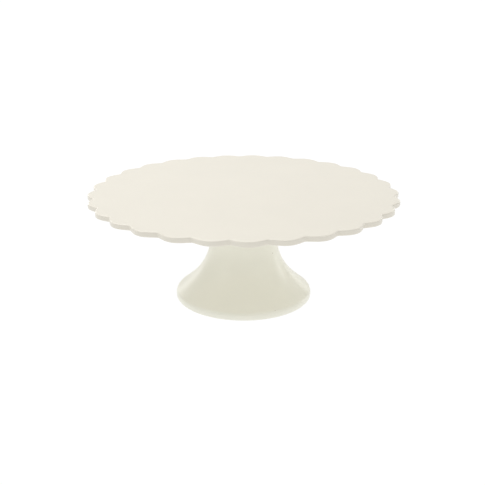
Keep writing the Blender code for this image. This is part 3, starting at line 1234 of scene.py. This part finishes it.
class STAND_OT_seals(bpy.types.Operator):
    """Moulds the silicone parts: the seat gasket, the foot ring and the soft washer"""

    bl_idname = "cake_stand.seals"
    bl_label = "Silicone Seals"

    def execute(self, context):
        rubber = finish(moulded_silicone)
        # Two grooves run round the underside of each ring, so it grips on the ribs between them
        groove_half = 0.3 * MM
        groove_depth = 0.24 * MM
        # Each part: piece, box, width, fillet, the grooves' places across it, body and CAD node
        parts = (
            ("seat_seal", GASKET_BOX, GASKET_WIDTH, 0.35, (0.68, 0.32), "pedestal", "seat_gasket"),
            ("foot_seal", FOOT_RING_BOX, 3.0 * MM, 0.35, (0.68, 0.32), "pedestal", "foot_ring"),
            ("washer_soft", SOFT_WASHER_BOX, 7.7 * MM, 0.4, (), "washers", "soft_washer"),
        )
        for name, (low, high), width, fillet_mm, grooves, body, node in parts:
            outer = high[0]
            inner = outer - width
            fillet = fillet_mm * MM
            corners = [(outer, high[2], fillet), (outer, low[2], fillet)]
            for share in grooves:
                middle = inner + width * share
                corners += [
                    (middle + groove_half, low[2], 0.1 * MM),
                    (middle, low[2] + groove_depth, 0.15 * MM),
                    (middle - groove_half, low[2], 0.1 * MM),
                ]
            corners += [(inner, low[2], fillet), (inner, high[2], fillet)]
            seal = grow(
                name,
                rounded(corners, closed=True),
                turned_tree,
                rubber,
                steps_a_lobe=144,
            )
            place_piece(seal, rubber, body, node)
        return {"FINISHED"}


class STAND_OT_washer(bpy.types.Operator):
    """Stamps the flat steel washer, rolled over on its punch side"""

    bl_idname = "cake_stand.washer"
    bl_label = "Flat Washer"

    def execute(self, context):
        low, high = FLAT_WASHER_BOX
        hole = context.scene.stand_hardware.thread_radius + CLEARANCE
        steel = finish(zinc_plated_steel)
        corners = [
            (high[0], high[2], 0.15 * MM),
            (high[0], low[2], 0.55 * MM),
            (hole, low[2], 0.4 * MM),
            (hole, high[2], 0.12 * MM),
        ]
        washer = grow(
            "washer_stamped",
            rounded(corners, closed=True),
            turned_tree,
            steel,
            steps_a_lobe=96,
        )
        place_piece(washer, steel, "washers", "flat_washer")
        return {"FINISHED"}


class STAND_OT_knob(bpy.types.Operator):
    """Moulds the fluted hand knob with a pocket for the bolt's hexagon head"""

    bl_idname = "cake_stand.knob"
    bl_label = "Hand Knob"

    def execute(self, context):
        sizes = context.scene.stand_hardware
        low, high = KNOB_BOX
        radius = high[0]
        hole = sizes.thread_radius + CLEARANCE
        collar = 10.5 * MM
        shoulder = high[2] - 0.6 * MM
        # A shallow dish runs round the lower face, with sloping sides
        dish_outer = radius - 3.2 * MM
        dish_inner = 9.0 * MM
        dish_slope = 0.4 * MM
        dish_floor = low[2] + 0.5 * MM
        corners = [
            (hole, high[2], 0.25 * MM),
            (collar, high[2], 0.25 * MM),
            (collar, shoulder, 0.2 * MM),
            (radius, shoulder, 1.0 * MM),
            (radius, low[2], 1.4 * MM),
            (dish_outer, low[2], 0.3 * MM),
            (dish_outer - dish_slope, dish_floor, 0.3 * MM),
            (dish_inner + dish_slope, dish_floor, 0.3 * MM),
            (dish_inner, low[2], 0.3 * MM),
            (hole, low[2], 0.2 * MM),
        ]
        nylon = finish(textured_nylon)
        knob = grow(
            "knob_fluted",
            rounded(corners, closed=True),
            turned_tree,
            nylon,
            lobes=sizes.knob_flutes,
            steps_a_lobe=20,
            lobe_depth=sizes.knob_flute_depth,
            rim_radius=radius,
            lobe_reach=3.0 * MM,
        )
        flats = HEAD_FLATS + 2 * CLEARANCE
        pocket = hexagon("pocket", flats, low[2] - MM, BOLT_SEAT + CLEARANCE, 0.25 * MM)
        combine(knob, pocket, "DIFFERENCE")
        place_piece(knob, nylon, "screw", "thumb_knob")
        return {"FINISHED"}


class STAND_OT_bolt(bpy.types.Operator):
    """Makes the clamp bolt: a hexagon head and a full thread"""

    bl_idname = "cake_stand.bolt"
    bl_label = "Clamp Bolt"

    def execute(self, context):
        sizes = context.scene.stand_hardware
        low, high = BOLT_BOX
        steel = finish(zinc_plated_steel)
        head = hexagon("bolt_hexagon", HEAD_FLATS, low[2], BOLT_SEAT, 0.12 * MM)
        # A cone that takes the hexagon's lower corners off, and clears the rest of the head
        clear_top = BOLT_SEAT + MM
        clear_radius = 9.0 * MM
        face_radius = 5.9 * MM
        face = low[2] - 0.02 * MM
        cone_top = low[2] + 1.5 * MM
        chamfer = grow(
            "head_chamfer",
            rounded(
                [
                    (0.0, clear_top, 0),
                    (clear_radius, clear_top, 0),
                    (clear_radius, cone_top, 0.2 * MM),
                    (face_radius, face, 0.2 * MM),
                    (0.0, face, 0),
                ]
            ),
            turned_tree,
            steel,
            steps_a_lobe=96,
        )
        combine(head, chamfer, "INTERSECT")
        thread = grow(
            "bolt_thread",
            [(0.0, 0.0)],
            thread_tree,
            steel,
            major_radius=sizes.thread_radius,
            pitch=sizes.thread_pitch,
            start=low[2],
            bottom=cone_top,
            top=high[2],
            bottom_radius=sizes.thread_radius - 0.8 * MM,
            top_radius=sizes.thread_radius - 0.9 * MM,
        )
        combine(thread, head, "UNION")
        thread.name = "bolt_hexagon_head"
        place_piece(thread, steel, "screw", "clamp_bolt")
        return {"FINISHED"}


def aim(thing, target, bearing, elevation, distance):
    """Puts a light or a camera at a distance from a target, facing it."""
    flat = math.cos(elevation)
    away = Vector((flat * math.cos(bearing), flat * math.sin(bearing), math.sin(elevation)))
    thing.location = Vector(target) + away * distance
    thing.rotation_euler = (-away).to_track_quat("-Z", "Y").to_euler()


def soft_light(name, bearing, elevation, distance, size, power):
    """A large rectangular studio light that faces the stand."""
    light = bpy.data.lights.new(name, "AREA")
    light.shape = "RECTANGLE"
    light.size, light.size_y = size
    light.energy = power
    holder = add_object(name, light)
    aim(holder, LIT_POINT, math.radians(bearing), math.radians(elevation), distance)


class STAND_OT_stage(bpy.types.Operator):
    """Sets the pale floor, the soft lights and the camera"""

    bl_idname = "cake_stand.stage"
    bl_label = "Stage"

    def execute(self, context):
        scene = context.scene
        settings = scene.stand_stage
        scene.view_settings.view_transform = "Standard"
        self.make_floor(settings)
        self.make_lights(scene, settings)
        self.make_camera(scene, settings)
        return {"FINISHED"}

    def make_floor(self, settings):
        """A wide white floor that glows enough to look like lit paper."""
        reach = 20.0
        height = -0.05 * MM
        mesh = bpy.data.meshes.new("floor")
        corners = [(-reach, -reach), (reach, -reach), (reach, reach), (-reach, reach)]
        mesh.from_pydata([(x, y, height) for x, y in corners], [], [(0, 1, 2, 3)])
        floor = add_object("floor", mesh)
        material = bpy.data.materials.new("white_paper_sweep")
        material.use_nodes = True
        tree = material.node_tree
        shader = tree.nodes["Principled BSDF"]
        shader.inputs["Base Color"].default_value = (0.04, 0.04, 0.04, 1.0)
        shader.inputs["Roughness"].default_value = 0.9
        shader.inputs["Specular IOR Level"].default_value = 0.1
        shader.inputs["Emission Color"].default_value = (1.0, 1.0, 1.0, 1.0)
        shader.inputs["Emission Strength"].default_value = settings.floor_glow
        mesh.materials.append(material)

    def make_lights(self, scene, settings):
        """Even white light from all round, and the soft lights."""
        world = bpy.data.worlds.new("white_room")
        world.use_nodes = True
        backdrop = world.node_tree.nodes["Background"]
        backdrop.inputs["Color"].default_value = (1.0, 1.0, 1.0, 1.0)
        backdrop.inputs["Strength"].default_value = settings.room_light
        scene.world = world
        for name, light in SOFT_LIGHTS.items():
            soft_light(name, *light)

    def make_camera(self, scene, settings):
        """The camera, at its bearing, elevation and distance."""
        lens = bpy.data.cameras.new("camera")
        lens.lens = settings.lens
        lens.sensor_width = 36.0
        lens.clip_end = 100.0
        camera = add_object("camera", lens)
        aim(
            camera,
            settings.target,
            settings.camera_bearing,
            settings.camera_elevation,
            settings.camera_distance,
        )
        scene.camera = camera


class STAND_PT_sidebar(bpy.types.Panel):
    """Lists the stand's pieces and their sizes"""

    bl_idname = "STAND_PT_sidebar"
    bl_label = "Cake Stand"
    bl_space_type = "VIEW_3D"
    bl_region_type = "UI"
    bl_category = "Cake Stand"

    def draw(self, context):
        layout = self.layout
        for operator in PIECE_OPERATORS:
            layout.operator(operator.bl_idname)
        for label, sizes in SIZE_GROUPS.items():
            group = getattr(context.scene, label)
            box = layout.box()
            box.label(text=sizes.__doc__)
            for name in sizes.__annotations__:
                box.prop(group, name)


SIZE_GROUPS = {
    "stand_plate": PlateSizes,
    "stand_pedestal": PedestalSizes,
    "stand_hardware": HardwareSizes,
    "stand_colours": FinishColours,
    "stand_stage": StageSettings,
}
PIECE_OPERATORS = (
    STAND_OT_plate,
    STAND_OT_insert,
    STAND_OT_pedestal,
    STAND_OT_seals,
    STAND_OT_washer,
    STAND_OT_knob,
    STAND_OT_bolt,
    STAND_OT_stage,
)


def register():
    """Adds the settings, the operators and the panel to Blender."""
    for group in SIZE_GROUPS.values():
        bpy.utils.register_class(group)
    for label, group in SIZE_GROUPS.items():
        setattr(bpy.types.Scene, label, bpy.props.PointerProperty(type=group))
    for operator in PIECE_OPERATORS:
        bpy.utils.register_class(operator)
    bpy.utils.register_class(STAND_PT_sidebar)


def unregister():
    """Takes away what register adds."""
    bpy.utils.unregister_class(STAND_PT_sidebar)
    for operator in reversed(PIECE_OPERATORS):
        bpy.utils.unregister_class(operator)
    for label in SIZE_GROUPS:
        delattr(bpy.types.Scene, label)
    for group in reversed(SIZE_GROUPS.values()):
        bpy.utils.unregister_class(group)


def main():
    """Sets the stage and makes every piece."""
    register()
    makers = bpy.ops.cake_stand
    makers.stage()
    makers.plate()
    makers.insert()
    makers.pedestal()
    makers.seals()
    makers.washer()
    makers.knob()
    makers.bolt()


if __name__ == "__main__":
    main()
